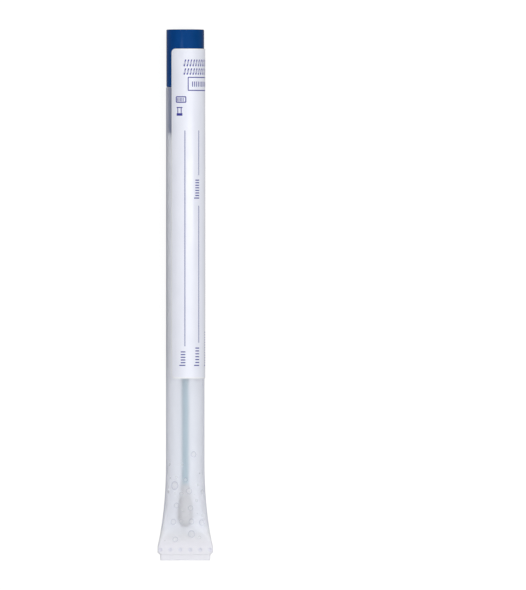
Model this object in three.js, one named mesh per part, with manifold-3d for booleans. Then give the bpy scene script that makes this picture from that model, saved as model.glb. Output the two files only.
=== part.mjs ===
// A specimen swab tube: a sterile swab sealed in a soft, frosted plastic tube.
//
// The tube is cut from round extruded stock. One end is welded flat between heated jaws,
// and the other is closed by a moulded plug cap whose socket grips the swab's stem. A film
// label is wrapped across the joint of cap and tube and leaves a strip of the tube bare.
//
// Millimetres. +Y runs along the tube towards the cap, +X lies across the flat weld, and +Z
// is up with the tube lying on its side. The origin is at floor level, under the middle of
// the whole length. Every piece is drawn with y = 0 at the mouth of the tube, where the cap
// seats, and with its own axis on the line x = z = 0.

import * as THREE from "three";
import { mergeVertices } from "three/addons/utils/BufferGeometryUtils.js";
import Module from "manifold-3d";

const wasm = await Module();
wasm.setup();

// ---------------------------------------------------------------- driving dimensions, mm

// Tube
const TUBE_RADIUS = 6.0;
const TUBE_WALL = 1.0;
const FLARE_LENGTH = 28.0; // round stock above, flat weld below
const FLARE_POWER = 2.4; // how late the flare opens: 1 would be a plain cone
const JAW_SHOULDER = 8.0; // the last stretch of the flare, which the jaws press shut

// Weld
const WELD_DRAW = 0.97; // the flattened bore's width, as a share of its half circumference
const WELD_SQUEEZE = 0.75; // the weld's thickness, as a share of the two walls in it
const BAND_LENGTH = 2.6; // the embossed band
const TAIL_LENGTH = 1.8; // the thinner edge below it, where the tube was cut off
const TAIL_STEP = 0.25; // how far the tail's face lies below the band's
const TAIL_INSET = 0.75; // how far the tail's side lies inside the band's
const TAIL_TAPER = 0.12;
const CHAMFER_LENGTH = 0.65; // the slope between the band's side and the tail's
const DIMPLE_PITCH = 3.1;
const DIMPLE_RADIUS = 0.64;
const DIMPLE_DEPTH = 0.24;
const DIMPLE_SETBACK = 1.05; // from the band's upper edge to the dimples' centres
const DIMPLE_EDGE = 0.75; // least distance of a dimple's centre from the band's side

// Cap
const CROWN_LENGTH = 18.0;
const CROWN_INSET = 0.1; // the crown is this much slimmer than the tube, all round
const CROWN_TOP_EDGE = 0.5; // edge radii
const CROWN_LOWER_EDGE = 0.35;
const CROWN_ROOF = 4.0; // solid plastic over the socket and the hollow
const SEAT_GAP = 0.05; // between the crown's shoulder and the tube's rim
const PLUG_LENGTH = 15.9;
const PLUG_LAND_LENGTH = 8.7; // the part of the plug that fills the bore
const PLUG_CLEARANCE = 0.05;
const PLUG_RELIEF = 0.2; // how much slimmer the plug is past its land
const PLUG_LEAD_LENGTH = 1.6; // the tapered lead-in at the plug's end
const PLUG_LEAD_DEPTH = 0.6;
const PLUG_WALL = 1.1;
const SOCKET_WALL = 0.9;

// Swab
const SWAB_LENGTH = 151.0;
const STEM_RADIUS = 1.1;
const STEM_CLEARANCE = 0.05; // in the cap's socket, and in the tip
const STEM_EDGE = 0.2;
const TIP_LENGTH = 13.2;
const TIP_FIBRE = 1.25; // depth of fibre on the stem at the tip's widest place
const TIP_NECK_FIBRE = 0.12; // depth of fibre where the winding starts
const TIP_COVER = 1.6; // fibre beyond the stem's end
const TIP_ROUNDING = 1.5; // length of the tip's round end, for each unit of its radius
const TIP_FULLNESS = 1.25; // how late the tip slims towards its neck
const TIP_TO_WELD = 6.1; // free space below the swab

// Label
const LABEL_WIDTH = 21.6; // round the tube
const LABEL_MIDDLE_DEG = 57.15; // its middle, from the top of the lying tube towards +X
const LABEL_CAP_INSET = 5.9; // from the crown's end to the label
const LABEL_FLARE_INSET = 24.2; // from the label to the flare
const LABEL_CORNER = 1.4;
const LABEL_THICKNESS = 0.16;
const LABEL_GAP = 0.08; // glue line between the tube and the label

// Facets of everything round
const FACETS = 48;
const FLARE_STEPS = 16;
const ARC_STEPS = 5;

// ------------------------------------------------------------------- what follows from them

const FACET_ANGLE = (2 * Math.PI) / FACETS;
const boreRadius = TUBE_RADIUS - TUBE_WALL;
const slitHalfWidth = (Math.PI / 2) * boreRadius * WELD_DRAW;
const bandHalfWidth = slitHalfWidth + TUBE_WALL;
const bandHalfThickness = TUBE_WALL * WELD_SQUEEZE;
const tailHalfWidth = bandHalfWidth - TAIL_INSET;
const tailHalfThickness = bandHalfThickness - TAIL_STEP;

const crownRadius = TUBE_RADIUS - CROWN_INSET;
const socketRoofY = CROWN_LENGTH - CROWN_ROOF;

const tipEndY = socketRoofY - SWAB_LENGTH;
const stemEndY = tipEndY + TIP_COVER;
const tipStartY = tipEndY + TIP_LENGTH;

const bandTopY = tipEndY - TIP_TO_WELD;
const bandEndY = bandTopY - BAND_LENGTH;
const tailEndY = bandEndY - TAIL_LENGTH;
const flareTopY = bandTopY + FLARE_LENGTH;

const labelInnerRadius = TUBE_RADIUS + LABEL_GAP;
const labelOuterRadius = labelInnerRadius + LABEL_THICKNESS;
const labelTopY = CROWN_LENGTH - LABEL_CAP_INSET;
const labelEndY = flareTopY + LABEL_FLARE_INSET;

const middleY = (CROWN_LENGTH + tailEndY) / 2;

// ------------------------------------------------------------------------------ small tools

const mix = (a, b, share) => a + (b - a) * share;
const smooth = (share) => share * share * (3 - 2 * share);

// A turned solid about Y, with a facet and not an edge at the bottom. Points are [radius, y].
function turned(points) {
  const outline = points.map(([radius, y]) => new THREE.Vector2(radius, y));
  return new THREE.LatheGeometry(outline, FACETS, FACET_ANGLE / 2);
}

// Points of a quarter-circle edge from one direction to another, as [radius, y].
function roundedEdge(centreRadius, centreY, edge, fromAngle, toAngle) {
  return Array.from({ length: ARC_STEPS + 1 }, (_, i) => {
    const angle = mix(fromAngle, toAngle, i / ARC_STEPS);
    return [centreRadius + edge * Math.cos(angle), centreY + edge * Math.sin(angle)];
  });
}

// A solid skinned over closed rings of equal length. The first ring and the last are drawn
// shut, so that each has its points in pairs on its own middle line.
function skinned(rings) {
  const count = rings[0].length;
  const positions = rings.flat(2);
  const indices = [];
  for (let ring = 0; ring + 1 < rings.length; ring++) {
    for (let i = 0; i < count; i++) {
      const next = (i + 1) % count;
      const a = ring * count + i;
      const b = ring * count + next;
      indices.push(a, b + count, b, a, a + count, b + count);
    }
  }
  const geometry = new THREE.BufferGeometry();
  geometry.setAttribute("position", new THREE.Float32BufferAttribute(positions, 3));
  geometry.setIndex(indices);
  return geometry.toNonIndexed();
}

function solidOf(geometry) {
  const bare = geometry.clone();
  bare.deleteAttribute("normal");
  bare.deleteAttribute("uv");
  const merged = mergeVertices(bare, 1e-4);
  const vertProperties = merged.attributes.position.array;
  const triVerts = new Uint32Array(merged.index.array);
  return new wasm.Manifold(new wasm.Mesh({ numProp: 3, vertProperties, triVerts }));
}

function geometryOf(solid) {
  const mesh = solid.getMesh();
  const geometry = new THREE.BufferGeometry();
  geometry.setAttribute("position", new THREE.BufferAttribute(mesh.vertProperties, 3));
  geometry.setIndex(new THREE.BufferAttribute(mesh.triVerts, 1));
  geometry.computeVertexNormals();
  return geometry;
}

// ------------------------------------------------------------------------------------- tube

// One ring of the tube's skin. With flatness 0 it is an ellipse, and with flatness 1 it has
// flat faces and half-round sides.
function tubeRing({ y, halfWidth, halfHeight, flatness = 0 }) {
  return Array.from({ length: FACETS }, (_, i) => {
    const angle = (i + 0.5) * FACET_ANGLE;
    const x = halfWidth * Math.sin(angle);
    const side = Math.max(0, Math.abs(x) - (halfWidth - halfHeight));
    const stadium = Math.sqrt(Math.max(0, halfHeight ** 2 - side ** 2));
    const ellipse = halfHeight * Math.abs(Math.cos(angle));
    return [x, y, Math.sign(Math.cos(angle)) * mix(ellipse, stadium, flatness)];
  });
}

// Ramanujan's circumference of an ellipse.
function ellipseGirth(a, b) {
  const h = ((a - b) / (a + b)) ** 2;
  return Math.PI * (a + b) * (1 + (3 * h) / (10 + Math.sqrt(4 - 3 * h)));
}

// The half-height of the flattened bore at a given half-width: its girth is the round bore's.
function boreHalfHeight(halfWidth) {
  const girth = 2 * Math.PI * boreRadius;
  let low = 0;
  let high = boreRadius;
  for (let i = 0; i < 40; i++) {
    const middle = (low + high) / 2;
    if (ellipseGirth(halfWidth, middle) > girth) high = middle;
    else low = middle;
  }
  return low;
}

// The tube's section at a share of the flare, from 0 where it is round to 1 at the weld.
function flareSection(share) {
  const y = mix(flareTopY, bandTopY, share);
  const halfWidth = mix(TUBE_RADIUS, bandHalfWidth, share ** FLARE_POWER);
  const open = smooth(Math.min(1, (y - bandTopY) / JAW_SHOULDER));
  const boreHeight = boreHalfHeight(halfWidth - TUBE_WALL) * open;
  const wall = mix(bandHalfThickness, TUBE_WALL, open);
  return {
    bore: { y, halfWidth: halfWidth - TUBE_WALL, halfHeight: boreHeight },
    skin: { y, halfWidth, halfHeight: boreHeight + wall, flatness: 1 - open },
  };
}

function weldSections() {
  const band = { halfWidth: bandHalfWidth, halfHeight: bandHalfThickness, flatness: 1 };
  const tail = { halfWidth: tailHalfWidth, halfHeight: tailHalfThickness, flatness: 1 };
  const cut = { ...tail, y: tailEndY, halfWidth: tailHalfWidth - TAIL_TAPER };
  return [
    { ...band, y: bandEndY + CHAMFER_LENGTH },
    { ...band, y: bandEndY, halfWidth: tailHalfWidth },
    { ...tail, y: bandEndY },
    cut,
    { ...cut, halfHeight: 0 },
  ];
}

// The pins that press the dimples into both faces of the band.
function dimplePins() {
  const span = 2 * (bandHalfWidth - DIMPLE_EDGE);
  const count = Math.floor(span / DIMPLE_PITCH) + 1;
  const pinRadius = (DIMPLE_RADIUS ** 2 + DIMPLE_DEPTH ** 2) / (2 * DIMPLE_DEPTH);
  const pinHeight = bandHalfThickness - DIMPLE_DEPTH + pinRadius;
  const pins = [];
  for (let i = 0; i < count; i++) {
    for (const face of [-1, 1]) {
      const pin = new THREE.SphereGeometry(pinRadius, 16, 12);
      const x = (i - (count - 1) / 2) * DIMPLE_PITCH;
      pin.rotateX(Math.PI / 2);
      pin.translate(x, bandTopY - DIMPLE_SETBACK, face * pinHeight);
      pins.push(solidOf(pin));
    }
  }
  return pins;
}

function makeTube() {
  // Shares of the flare, closer together towards the weld.
  const shares = Array.from({ length: FLARE_STEPS + 1 }, (_, i) => {
    return 1 - (1 - i / FLARE_STEPS) ** 1.6;
  });
  const flare = shares.map(flareSection);
  const mouth = { y: 0, halfWidth: TUBE_RADIUS, halfHeight: TUBE_RADIUS };
  const mouthBore = { y: 0, halfWidth: boreRadius, halfHeight: boreRadius };
  const sections = [
    ...flare.map((section) => section.bore).reverse(),
    mouthBore,
    mouth,
    ...flare.map((section) => section.skin),
    ...weldSections(),
  ];
  let solid = solidOf(skinned(sections.map(tubeRing)));
  for (const pin of dimplePins()) solid = solid.subtract(pin);
  return geometryOf(solid);
}

// -------------------------------------------------------------------------------------- cap

function makeCap() {
  const landRadius = boreRadius - PLUG_CLEARANCE;
  const noseRadius = landRadius - PLUG_RELIEF;
  const leadY = -PLUG_LENGTH + PLUG_LEAD_LENGTH;
  const hollowRadius = noseRadius - PLUG_WALL;
  const socketRadius = STEM_RADIUS + STEM_CLEARANCE;
  const bossRadius = socketRadius + SOCKET_WALL;
  return turned([
    [0, socketRoofY],
    [socketRadius, socketRoofY],
    [socketRadius, -PLUG_LENGTH],
    [bossRadius, -PLUG_LENGTH],
    [bossRadius, socketRoofY],
    [hollowRadius, socketRoofY],
    [hollowRadius, -PLUG_LENGTH],
    [noseRadius - PLUG_LEAD_DEPTH, -PLUG_LENGTH],
    [noseRadius, leadY],
    [noseRadius, -PLUG_LAND_LENGTH - PLUG_RELIEF],
    [landRadius, -PLUG_LAND_LENGTH],
    [landRadius, SEAT_GAP],
    ...roundedEdge(
      crownRadius - CROWN_LOWER_EDGE,
      SEAT_GAP + CROWN_LOWER_EDGE,
      CROWN_LOWER_EDGE,
      -Math.PI / 2,
      0,
    ),
    ...roundedEdge(
      crownRadius - CROWN_TOP_EDGE,
      CROWN_LENGTH - CROWN_TOP_EDGE,
      CROWN_TOP_EDGE,
      0,
      Math.PI / 2,
    ),
    [0, CROWN_LENGTH],
  ]);
}

// ------------------------------------------------------------------------------------- swab

function makeStem() {
  return turned([
    [0, stemEndY],
    [STEM_RADIUS - STEM_EDGE, stemEndY],
    [STEM_RADIUS, stemEndY + STEM_EDGE],
    [STEM_RADIUS, socketRoofY - STEM_CLEARANCE],
    [0, socketRoofY - STEM_CLEARANCE],
  ]);
}

// The wound fibre tip: slim where the winding starts, widest low down, and round at its end.
function makeTip() {
  const bore = STEM_RADIUS + STEM_CLEARANCE;
  const neck = bore + TIP_NECK_FIBRE;
  const widest = STEM_RADIUS + TIP_FIBRE;
  const widestY = tipEndY + widest * TIP_ROUNDING;
  const steps = 8;
  const outline = [[0, tipEndY]];
  for (let i = steps - 1; i > 0; i--) {
    const angle = ((i / steps) * Math.PI) / 2;
    outline.push([widest * Math.cos(angle), mix(widestY, tipEndY, Math.sin(angle))]);
  }
  for (let i = 0; i <= steps; i++) {
    const share = i / steps;
    const radius = mix(widest, neck, smooth(share ** TIP_FULLNESS));
    outline.push([radius, mix(widestY, tipStartY, share)]);
  }
  const seatY = stemEndY - STEM_CLEARANCE;
  return turned([...outline, [bore, tipStartY], [bore, seatY], [0, seatY]]);
}

// ------------------------------------------------------------------------------------ label

// Angles of the label's columns: its two edges, some close to them for the round corners,
// and elsewhere the corners of the facets that the tube has under it.
function labelColumns() {
  const middleRadius = (labelInnerRadius + labelOuterRadius) / 2;
  const middle = THREE.MathUtils.degToRad(LABEL_MIDDLE_DEG);
  const halfTurn = LABEL_WIDTH / middleRadius / 2;
  const start = middle - halfTurn;
  const end = middle + halfTurn;
  const corner = LABEL_CORNER / middleRadius;
  const columns = [];
  for (const share of [0, 0.08, 0.3]) columns.push(start + share * corner, end - share * corner);
  const margin = 0.35 * corner;
  for (let i = -FACETS; i < 2 * FACETS; i++) {
    const angle = (i + 0.5) * FACET_ANGLE;
    if (angle > start + margin && angle < end - margin) columns.push(angle);
  }
  columns.sort((a, b) => a - b);
  return columns.map((angle) => {
    const toEdge = Math.min(angle - start, end - angle) * middleRadius;
    const short = Math.max(0, LABEL_CORNER - toEdge);
    return { angle, inset: LABEL_CORNER - Math.sqrt(LABEL_CORNER ** 2 - short ** 2) };
  });
}

// A flat strip of film, one segment to a column, bent round the tube.
function makeLabel() {
  const columns = labelColumns();
  const label = new THREE.BoxGeometry(1, 1, 1, columns.length - 1, 1, 1);
  const place = label.getAttribute("position");
  for (let i = 0; i < place.count; i++) {
    const { angle, inset } = columns[Math.round((place.getX(i) + 0.5) * (columns.length - 1))];
    const y = place.getY(i) > 0 ? labelTopY - inset : labelEndY + inset;
    const radius = place.getZ(i) > 0 ? labelOuterRadius : labelInnerRadius;
    place.setXYZ(i, radius * Math.sin(angle), y, radius * Math.cos(angle));
  }
  label.computeVertexNormals();
  return label;
}

// --------------------------------------------------------------------------------- assembly

const materials = {
  frostedTube: new THREE.MeshStandardMaterial({
    color: 0xd9dde8,
    roughness: 0.45,
    metalness: 0,
    transparent: true,
    opacity: 0.55,
  }),
  capPlastic: new THREE.MeshStandardMaterial({ color: 0x14478a, roughness: 0.4, metalness: 0 }),
  stemPlastic: new THREE.MeshStandardMaterial({ color: 0x8fc0cd, roughness: 0.4, metalness: 0 }),
  tipFibre: new THREE.MeshStandardMaterial({ color: 0xe9e6e2, roughness: 0.95, metalness: 0 }),
  labelFilm: new THREE.MeshStandardMaterial({ color: 0xeceffb, roughness: 0.5, metalness: 0 }),
};

function piece(name, geometry, material) {
  const mesh = new THREE.Mesh(geometry, material);
  mesh.name = name;
  return mesh;
}

const swab = new THREE.Group();
swab.add(piece("swab_stem", makeStem(), materials.stemPlastic));
swab.add(piece("swab_tip", makeTip(), materials.tipFibre));

const stopper = new THREE.Group(); // what pulls out of the tube as one
stopper.add(piece("cap", makeCap(), materials.capPlastic));
stopper.add(swab);

const swabTube = new THREE.Group();
swabTube.add(piece("tube", makeTube(), materials.frostedTube));
swabTube.add(piece("label", makeLabel(), materials.labelFilm));
swabTube.add(stopper);

// The lying tube rests on its lowest facet, or on the label where that reaches further down.
const lowest = new THREE.Box3().setFromObject(swabTube).min.z;
swabTube.position.set(0, -middleY, -lowest);

const part = new THREE.Group();
part.add(swabTube);

export default part;
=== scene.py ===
"""Looks of the specimen swab tube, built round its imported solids.

Shapes are drawn in millimetres, with y = 0 at the tube's mouth, +y towards the cap, and the
tube's own axis on the line x = z = 0. mesh_piece() puts them in the frame, in metres.
"""

import math
import random

import bmesh
import bpy
import numpy as np
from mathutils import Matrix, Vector, noise


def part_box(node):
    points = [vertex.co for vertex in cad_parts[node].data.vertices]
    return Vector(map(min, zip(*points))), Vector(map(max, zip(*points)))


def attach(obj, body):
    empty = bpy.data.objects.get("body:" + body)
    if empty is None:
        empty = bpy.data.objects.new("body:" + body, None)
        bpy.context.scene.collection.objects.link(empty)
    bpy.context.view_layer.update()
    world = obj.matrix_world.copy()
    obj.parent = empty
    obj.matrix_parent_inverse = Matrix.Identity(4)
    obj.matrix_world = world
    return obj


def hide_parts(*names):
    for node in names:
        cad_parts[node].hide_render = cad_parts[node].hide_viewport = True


MM = 0.001

# ------------------------------------------------------------------ sizes, mm

TUBE_RADIUS = 6.0
TUBE_WALL = 1.0
FLARE_LENGTH = 28.0
FLARE_POWER = 2.4
JAW_SHOULDER = 8.0
WELD_DRAW = 0.97
WELD_SQUEEZE = 0.75
BAND_LENGTH = 2.6
TAIL_LENGTH = 1.8
TAIL_STEP = 0.25
TAIL_INSET = 0.75
TAIL_TAPER = 0.12
CHAMFER_LENGTH = 0.65
DIMPLE_PITCH = 3.1
DIMPLE_RADIUS = 0.64
DIMPLE_DEPTH = 0.24
DIMPLE_SETBACK = 1.05
DIMPLE_COUNT = 6

CROWN_LENGTH = 18.0
CROWN_INSET = 0.1
CROWN_TOP_EDGE = 0.3
CROWN_LOWER_EDGE = 0.35
CROWN_ROOF = 4.0
SEAT_GAP = 0.05
PLUG_LENGTH = 15.9
PLUG_LAND_LENGTH = 8.7
PLUG_GRIP = 0.02  # the plug's land bites into the soft bore, so no air shows between them
PLUG_RELIEF = 0.2
PLUG_LEAD_LENGTH = 1.6
PLUG_LEAD_DEPTH = 0.6
PLUG_WALL = 1.1
SOCKET_WALL = 0.9

SWAB_LENGTH = 151.0
STEM_RADIUS = 1.1
STEM_CLEARANCE = 0.05
STEM_EDGE = 0.2
TIP_LENGTH = 13.2
TIP_FIBRE = 1.25
TIP_NECK_FIBRE = 0.12
TIP_COVER = 1.6
TIP_ROUNDING = 1.5
TIP_FULLNESS = 1.25
TIP_TO_WELD = 6.1

LABEL_WIDTH = 21.6
LABEL_MIDDLE_DEG = 57.15
LABEL_CAP_INSET = 6.02
LABEL_FLARE_INSET = 24.32
LABEL_CORNER = 1.4
LABEL_THICKNESS = 0.16
LABEL_GAP = 0.08

bore_radius = TUBE_RADIUS - TUBE_WALL
slit_half_width = math.pi / 2 * bore_radius * WELD_DRAW
band_half_width = slit_half_width + TUBE_WALL
band_half_thickness = TUBE_WALL * WELD_SQUEEZE
tail_half_width = band_half_width - TAIL_INSET
tail_half_thickness = band_half_thickness - TAIL_STEP
crown_radius = TUBE_RADIUS - CROWN_INSET
socket_roof_y = CROWN_LENGTH - CROWN_ROOF
tip_end_y = socket_roof_y - SWAB_LENGTH
stem_end_y = tip_end_y + TIP_COVER
tip_start_y = tip_end_y + TIP_LENGTH
band_top_y = tip_end_y - TIP_TO_WELD
band_end_y = band_top_y - BAND_LENGTH
tail_end_y = band_end_y - TAIL_LENGTH
flare_top_y = band_top_y + FLARE_LENGTH
label_inner_radius = TUBE_RADIUS + LABEL_GAP
label_outer_radius = label_inner_radius + LABEL_THICKNESS
label_top_y = CROWN_LENGTH - LABEL_CAP_INSET
label_end_y = flare_top_y + LABEL_FLARE_INSET

# ------------------------------------------------------------------ the frame

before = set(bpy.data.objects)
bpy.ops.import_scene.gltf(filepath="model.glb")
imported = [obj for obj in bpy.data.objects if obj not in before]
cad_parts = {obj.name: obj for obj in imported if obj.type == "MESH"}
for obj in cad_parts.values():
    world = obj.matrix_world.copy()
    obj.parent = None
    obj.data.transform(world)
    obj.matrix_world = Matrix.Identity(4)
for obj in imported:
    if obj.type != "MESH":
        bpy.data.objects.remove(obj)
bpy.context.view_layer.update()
stem_low, stem_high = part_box("swab_stem")
AXIS_Z = (stem_low.z + stem_high.z) / 2 / MM
MOUTH_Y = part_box("tube")[1].y / MM


def mix(a, b, share):
    return a + (b - a) * share


def smooth(share):
    share = min(1.0, max(0.0, share))
    return share * share * (3 - 2 * share)


def polar(radius, angle, y):
    """A point at a distance from the axis, turned from the top of the lying tube."""
    return (radius * math.sin(angle), y, radius * math.cos(angle))


def facet_angle(i, count):
    return (i + 0.5) * 2 * math.pi / count


def mesh_piece(name, points, faces, body, material, replaces=None):
    """A mesh object from points in the drawing's millimetres, riding on a body."""
    placed = (np.asarray(points, float) + (0, MOUTH_Y, AXIS_Z)) * MM
    mesh = bpy.data.meshes.new(name)
    mesh.from_pydata(placed.tolist(), [], faces)
    mesh.validate()
    mesh.update()
    mesh.polygons.foreach_set("use_smooth", [True] * len(mesh.polygons))
    mesh.materials.append(material)
    piece = bpy.data.objects.new(name, mesh)
    bpy.context.scene.collection.objects.link(piece)
    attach(piece, body)
    if replaces:
        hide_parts(replaces)
    return piece


def point_values(piece, name, values):
    """One number for each point, which the piece's material reads by name."""
    attribute = piece.data.attributes.new(name, "FLOAT", "POINT")
    attribute.data.foreach_set("value", values)


def ring_faces(rings, count, offset=0):
    """Quads between closed rings of count points each."""
    faces = []
    for r in range(rings - 1):
        for i in range(count):
            a = offset + r * count + i
            b = offset + r * count + (i + 1) % count
            faces.append((a, b, b + count, a + count))
    return faces


def weld_points(piece, distance=1e-7):
    """Joins points that coincide and turns all faces outwards."""
    work = bmesh.new()
    work.from_mesh(piece.data)
    bmesh.ops.remove_doubles(work, verts=work.verts, dist=distance)
    bmesh.ops.dissolve_degenerate(work, edges=work.edges, dist=distance)
    bmesh.ops.recalc_face_normals(work, faces=work.faces)
    work.to_mesh(piece.data)
    work.free()


def sharpen(piece, degrees):
    """Splits the shading where faces meet at more than so many degrees."""
    bpy.context.view_layer.objects.active = piece
    piece.data.set_sharp_from_angle(angle=math.radians(degrees))


# ------------------------------------------------------------------ materials


class Graph:
    """Short hands for building one node tree."""

    def __init__(self, name):
        self.material = bpy.data.materials.new(name)
        self.material.use_nodes = True
        self.nodes = self.material.node_tree.nodes
        self.links = self.material.node_tree.links
        self.nodes.clear()

    def node(self, kind, inputs=None, **settings):
        node = self.nodes.new(kind)
        for key, value in settings.items():
            setattr(node, key, value)
        for key, value in (inputs or {}).items():
            socket = node.inputs[key]
            if isinstance(value, bpy.types.NodeSocket):
                self.links.new(value, socket)
            else:
                socket.default_value = value
        return node

    def math(self, operation, a, b, clamp=False):
        return self.node(
            "ShaderNodeMath", {0: a, 1: b}, operation=operation, use_clamp=clamp
        ).outputs[0]

    def place(self, scale):
        """Object coordinates in millimetres, stretched by scale."""
        coords = self.node("ShaderNodeTexCoord").outputs["Object"]
        stretch = tuple(s / MM for s in scale)
        return self.node(
            "ShaderNodeMapping", {"Vector": coords, "Scale": stretch}
        ).outputs[0]

    def noise(self, scale, stretch, detail, rough=0.5):
        return self.node(
            "ShaderNodeTexNoise",
            {
                "Vector": self.place(stretch),
                "Scale": scale,
                "Detail": detail,
                "Roughness": rough,
            },
        ).outputs["Fac"]

    def point_value(self, name):
        """A number that point_values() has put on the piece."""
        return self.node("ShaderNodeAttribute", attribute_name=name).outputs["Fac"]

    def span(self, value, low, high, from_low=0.3, from_high=0.7):
        """value, from its usual range to low..high."""
        return self.node(
            "ShaderNodeMapRange",
            {
                "Value": value,
                "From Min": from_low,
                "From Max": from_high,
                "To Min": low,
                "To Max": high,
            },
        ).outputs[0]

    def blend(self, share, a, b):
        """The colour a, going over to b as share goes to 1."""
        node = self.node("ShaderNodeMix", data_type="RGBA")
        for index, value in ((0, share), (6, a), (7, b)):
            if isinstance(value, bpy.types.NodeSocket):
                self.links.new(value, node.inputs[index])
            else:
                node.inputs[index].default_value = value
        return node.outputs[2]

    def bump(self, height, distance_mm):
        return self.node(
            "ShaderNodeBump",
            {"Height": height, "Distance": distance_mm * MM, "Strength": 1.0},
        ).outputs[0]

    def mixed(self, share, a, b):
        """The shader a, going over to b as share goes to 1."""
        node = self.node("ShaderNodeMixShader", {0: share})
        self.links.new(a, node.inputs[1])
        self.links.new(b, node.inputs[2])
        return node.outputs[0]

    def finish(self, shader):
        out = self.node("ShaderNodeOutputMaterial")
        self.links.new(shader, out.inputs["Surface"])
        return self.material

    def finish_for_lamps(self, seen, lamp):
        """Finishes with one shader for what is seen, and one for shadows and bounced light."""
        path = self.node("ShaderNodeLightPath")
        soft = self.mixed(path.outputs["Is Diffuse Ray"], seen, lamp)
        return self.finish(self.mixed(path.outputs["Is Shadow Ray"], soft, lamp))


def rgba(r, g, b):
    return (r, g, b, 1.0)


SKIN_LAMP_TINT = 0.89  # what each skin of the wall lets through of the lamps' light
WHITE = rgba(1, 1, 1)


def tube_material(name, roughness, milk_share, edge_share, weld_share):
    """One skin of the tube's wall. The outside is frosted, and the bore is smooth."""
    g = Graph(name)
    cloud = g.noise(0.35, (1, 0.35, 1), 4)
    milk = g.blend(g.span(cloud, 0, 1), rgba(0.868, 0.885, 0.985), rgba(0.895, 0.912, 1.0))
    pressed = g.point_value("pressed")
    welded = g.point_value("welded")
    milk = g.blend(welded, milk, rgba(0.875, 0.875, 0.935))
    # painted light: halfway along the weld's fade, on the taper that slopes away from the
    # lamps, the milk is painted whiter
    drawn = g.math("MULTIPLY", welded, g.math("SUBTRACT", 1.0, welded))
    milk = g.blend(g.math("MULTIPLY", drawn, 4.0, clamp=True), milk, rgba(0.955, 0.96, 1.0))
    # painted shade: the pins' marks are painted darkest, in a darker and bluer milk
    milk = g.blend(pressed, milk, rgba(0.79, 0.79, 0.90))
    grain = g.noise(5.0, (1, 0.25, 1), 5, 0.6)
    normal = g.bump(grain, 0.012)
    front = g.node("ShaderNodeBsdfDiffuse", {"Color": milk, "Normal": normal}).outputs[0]
    back = g.node("ShaderNodeBsdfTranslucent", {"Color": milk, "Normal": normal}).outputs[0]
    body = g.mixed(g.span(welded, 0.30, 0.10, 0, 1), front, back)
    gloss = g.node(
        "ShaderNodeBsdfGlossy",
        {"Color": WHITE, "Roughness": 0.45, "Normal": normal},
    ).outputs[0]
    fresnel = g.node("ShaderNodeFresnel", {"IOR": 1.25}).outputs[0]
    body = g.mixed(g.math("MULTIPLY", fresnel, 0.2), body, gloss)
    facing = g.node("ShaderNodeLayerWeight", {"Blend": 0.5}).outputs["Facing"]
    grazing = g.math("MULTIPLY", g.math("POWER", facing, 5.0), 1.6, clamp=True)
    glass = g.blend(grazing, rgba(0.947, 0.963, 1.0), rgba(0.70, 0.72, 0.88))
    window = g.node(
        "ShaderNodeBsdfPrincipled",
        {
            "Base Color": glass,
            "Roughness": roughness,
            "IOR": 1.45,
            "Transmission Weight": 1.0,
            "Specular IOR Level": 0.03,
            "Normal": normal,
        },
    ).outputs[0]
    rising = g.math("POWER", facing, 3.0)
    milky = g.node(
        "ShaderNodeMapRange", {"Value": rising, "To Min": milk_share, "To Max": edge_share}
    ).outputs[0]
    milky = g.math("MAXIMUM", milky, g.math("MULTIPLY", welded, weld_share))
    lamp = g.node(
        "ShaderNodeBsdfTransparent",
        {"Color": rgba(SKIN_LAMP_TINT, SKIN_LAMP_TINT, SKIN_LAMP_TINT)},
    ).outputs[0]
    return g.finish_for_lamps(g.mixed(milky, window, body), lamp)


def cap_material():
    g = Graph("cap_plastic")
    swirl = g.noise(0.5, (1, 0.4, 1), 4)
    colour = g.blend(
        g.span(swirl, 0, 1), rgba(0.0015, 0.039, 0.150), rgba(0.003, 0.046, 0.172)
    )
    grain = g.noise(9.0, (1, 1, 1), 4, 0.6)
    shader = g.node(
        "ShaderNodeBsdfPrincipled",
        {
            "Base Color": colour,
            "Roughness": g.span(grain, 0.15, 0.20),
            "Specular IOR Level": 0.03,
            "Normal": g.bump(grain, 0.004),
        },
    ).outputs[0]
    return g.finish(shader)


def stem_material():
    g = Graph("stem_plastic")
    streak = g.noise(1.2, (1, 0.05, 1), 3)
    colour = g.blend(
        g.span(streak, 0, 1), rgba(0.365, 0.567, 0.657), rgba(0.405, 0.617, 0.707)
    )
    drawn = g.noise(14.0, (1, 0.02, 1), 2)
    shader = g.node(
        "ShaderNodeBsdfPrincipled",
        {
            "Base Color": colour,
            "Roughness": g.span(streak, 0.3, 0.4),
            "Normal": g.bump(drawn, 0.006),
        },
    ).outputs[0]
    return g.finish(shader)


def fibre_material():
    g = Graph("tip_fibre")
    tuft = g.noise(1.3, (1, 1, 1), 4)
    colour = g.blend(
        g.span(tuft, 0, 1), rgba(0.73, 0.73, 0.735), rgba(0.865, 0.865, 0.87)
    )
    strand = g.noise(16.0, (1, 1, 1), 3)
    shader = g.node(
        "ShaderNodeBsdfPrincipled",
        {
            "Base Color": colour,
            "Roughness": g.span(strand, 0.8, 0.98),
            "Sheen Weight": 0.25,
            "Sheen Roughness": 0.5,
            "Normal": g.bump(strand, 0.02),
        },
    ).outputs[0]
    return g.finish(shader)


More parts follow.
